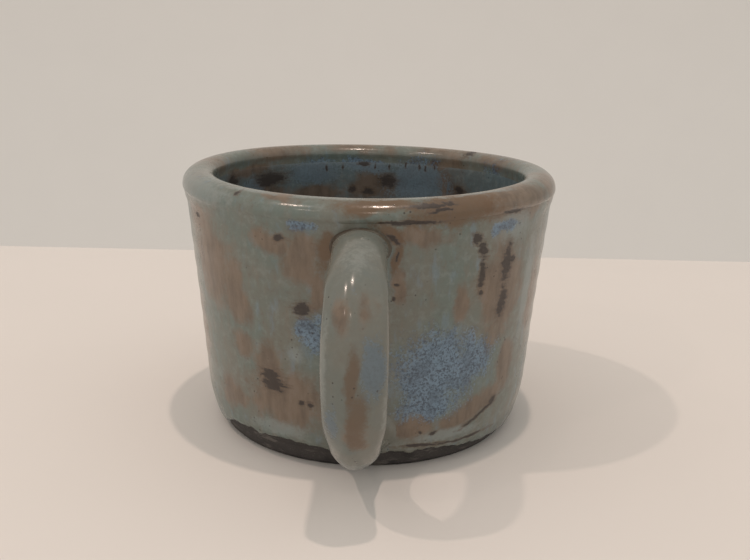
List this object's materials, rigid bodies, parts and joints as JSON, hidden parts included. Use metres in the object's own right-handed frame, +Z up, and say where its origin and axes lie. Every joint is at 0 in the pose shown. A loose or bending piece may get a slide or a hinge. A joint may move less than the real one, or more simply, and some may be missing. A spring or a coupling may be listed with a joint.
{
  "type": "mug",
  "caption": "Low, wide stoneware mug with a thick rolled lip, a tapering wall, a bare clay foot and one pulled strap handle.",
  "frame": {"origin": "centre of the flat foot, on the surface that the mug stands on", "axes": "+Z up along the pot's axis; the handle points along -Y"},
  "size_m": [0.1012, 0.1304, 0.0705],
  "materials": {
    "bare_clay": "matte dark fired clay",
    "outside_glaze": "satin gloss grey-green glaze with rust, iron and pale blue breaks",
    "liner_glaze": "satin gloss blue-grey glaze with rust breaks",
    "lip_glaze": "gloss glaze, thin and rust coloured over the lip",
    "handle_glaze": "gloss pale grey-green glaze with rust and iron streaks"
  },
  "bodies": {
    "root": {"floor_slab": "bare_clay", "foot_band": "bare_clay", "thrown_wall": "bare_clay", "rolled_lip": "bare_clay", "handle_strap": "bare_clay", "outside_glaze": "outside_glaze", "liner_glaze": "liner_glaze", "lip_glaze": "lip_glaze", "handle_glaze": "handle_glaze", "upper_handle_joint": "handle_glaze", "lower_handle_joint": "handle_glaze"}
  },
  "joints": []
}
